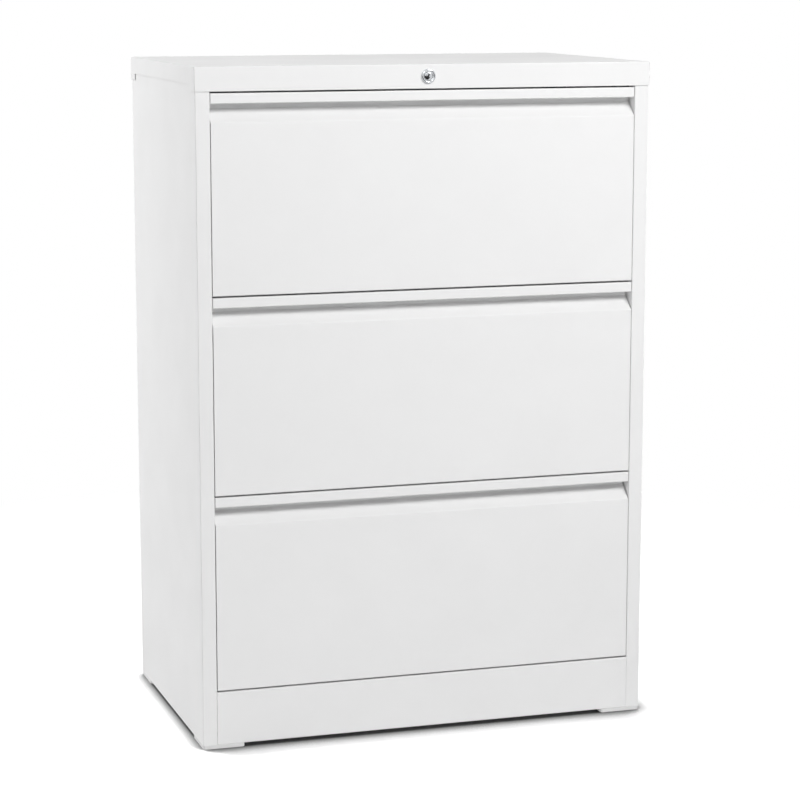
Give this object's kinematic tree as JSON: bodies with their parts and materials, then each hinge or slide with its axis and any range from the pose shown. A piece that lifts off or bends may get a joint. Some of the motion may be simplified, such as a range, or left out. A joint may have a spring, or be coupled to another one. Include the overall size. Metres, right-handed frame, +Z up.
{
  "type": "lateral filing cabinet",
  "caption": "Wide white steel filing cabinet with full-width drawers, lipped finger pulls, a plinth on corner feet and one lock in the top that holds all drawers shut.",
  "frame": {"origin": "centre of the bounding box's base, on the floor", "axes": "+Z up, +X to the right seen from the front, the drawers open towards -Y"},
  "size_m": [0.71, 0.448, 1.02],
  "materials": {
    "white_powder_coat": "white satin powder coat with a fine texture",
    "zinc_plated_steel": "bright zinc plating",
    "chrome": "polished chrome",
    "white_plastic": "moulded matt white"
  },
  "bodies": {
    "cabinet": {"left_side_panel": "white_powder_coat", "right_side_panel": "white_powder_coat", "back_panel": "white_powder_coat", "top_panel": "white_powder_coat", "base_panel": "white_powder_coat", "front_left_upright": "zinc_plated_steel", "front_right_upright": "zinc_plated_steel", "rear_left_upright": "zinc_plated_steel", "rear_right_upright": "zinc_plated_steel", "front_left_foot": "white_plastic", "front_right_foot": "white_plastic", "rear_left_foot": "white_plastic", "rear_right_foot": "white_plastic", "bottom_slide_outer_left": "zinc_plated_steel", "bottom_slide_outer_right": "zinc_plated_steel", "middle_slide_outer_left": "zinc_plated_steel", "middle_slide_outer_right": "zinc_plated_steel", "top_slide_outer_left": "zinc_plated_steel", "top_slide_outer_right": "zinc_plated_steel", "lock_barrel": "chrome", "lock_nut": "zinc_plated_steel", "lock_guides": "zinc_plated_steel", "crank_bracket": "zinc_plated_steel"},
    "bottom_drawer": {"bottom_drawer_front": "white_powder_coat", "bottom_drawer_tray": "white_powder_coat", "bottom_drawer_side_left": "white_powder_coat", "bottom_drawer_side_right": "white_powder_coat", "bottom_file_rails": "zinc_plated_steel", "bottom_slide_inner_left": "zinc_plated_steel", "bottom_slide_inner_right": "zinc_plated_steel", "bottom_lock_catch": "zinc_plated_steel"},
    "bottom_slide_carriage": {"bottom_slide_middle_left": "zinc_plated_steel", "bottom_slide_middle_right": "zinc_plated_steel"},
    "middle_drawer": {"middle_drawer_front": "white_powder_coat", "middle_drawer_tray": "white_powder_coat", "middle_drawer_side_left": "white_powder_coat", "middle_drawer_side_right": "white_powder_coat", "middle_file_rails": "zinc_plated_steel", "middle_slide_inner_left": "zinc_plated_steel", "middle_slide_inner_right": "zinc_plated_steel", "middle_lock_catch": "zinc_plated_steel"},
    "middle_slide_carriage": {"middle_slide_middle_left": "zinc_plated_steel", "middle_slide_middle_right": "zinc_plated_steel"},
    "top_drawer": {"top_drawer_front": "white_powder_coat", "top_drawer_tray": "white_powder_coat", "top_drawer_side_left": "white_powder_coat", "top_drawer_side_right": "white_powder_coat", "top_file_rails": "zinc_plated_steel", "top_slide_inner_left": "zinc_plated_steel", "top_slide_inner_right": "zinc_plated_steel", "top_lock_catch": "zinc_plated_steel"},
    "top_slide_carriage": {"top_slide_middle_left": "zinc_plated_steel", "top_slide_middle_right": "zinc_plated_steel"},
    "lock_plug": {"lock_plug": "chrome", "lock_cam": "zinc_plated_steel"},
    "link_bar": {"link_bar": "zinc_plated_steel"},
    "bell_crank": {"bell_crank": "zinc_plated_steel"},
    "lock_bar": {"lock_bar": "zinc_plated_steel", "lock_lugs": "zinc_plated_steel"}
  },
  "joints": [
    {"name": "bottom_drawer_slide", "type": "slide", "parent": "cabinet", "child": "bottom_drawer", "axis": [0, -1, 0], "range_m": [0, 0.36]},
    {"name": "bottom_carriage_slide", "type": "slide", "parent": "cabinet", "child": "bottom_slide_carriage", "axis": [0, -1, 0], "range_m": [0, 0.18]},
    {"name": "middle_drawer_slide", "type": "slide", "parent": "cabinet", "child": "middle_drawer", "axis": [0, -1, 0], "range_m": [0, 0.36]},
    {"name": "middle_carriage_slide", "type": "slide", "parent": "cabinet", "child": "middle_slide_carriage", "axis": [0, -1, 0], "range_m": [0, 0.18]},
    {"name": "top_drawer_slide", "type": "slide", "parent": "cabinet", "child": "top_drawer", "axis": [0, -1, 0], "range_m": [0, 0.36]},
    {"name": "top_carriage_slide", "type": "slide", "parent": "cabinet", "child": "top_slide_carriage", "axis": [0, -1, 0], "range_m": [0, 0.18]},
    {"name": "lock_turn", "type": "hinge", "parent": "cabinet", "child": "lock_plug", "pos_m": [0, -0.21, 1.002], "axis": [0, 1, 0], "range_deg": [0, 90]},
    {"name": "link_slide", "type": "slide", "parent": "cabinet", "child": "link_bar", "axis": [-1, 0, 0], "range_m": [0, 0.01]},
    {"name": "crank_turn", "type": "hinge", "parent": "cabinet", "child": "bell_crank", "pos_m": [0.3245, -0.187, 0.98037], "axis": [0, -1, 0], "range_deg": [0, 36.42]},
    {"name": "lock_bar_lift", "type": "slide", "parent": "cabinet", "child": "lock_bar", "axis": [0, 0, 1], "range_m": [0, 0.01]}
  ],
  "couplings": [
    {"joint": "bottom_carriage_slide", "follows": "bottom_drawer_slide", "ratio": 0.5},
    {"joint": "middle_carriage_slide", "follows": "middle_drawer_slide", "ratio": 0.5},
    {"joint": "top_carriage_slide", "follows": "top_drawer_slide", "ratio": 0.5},
    {"joint": "link_slide", "follows": "lock_bar_lift", "ratio": 1},
    {"joint": "crank_turn", "follows": "lock_bar_lift", "rad_per_m": 63.565},
    {"joint": "lock_turn", "follows": "lock_bar_lift", "rad_per_m": 157.08}
  ]
}
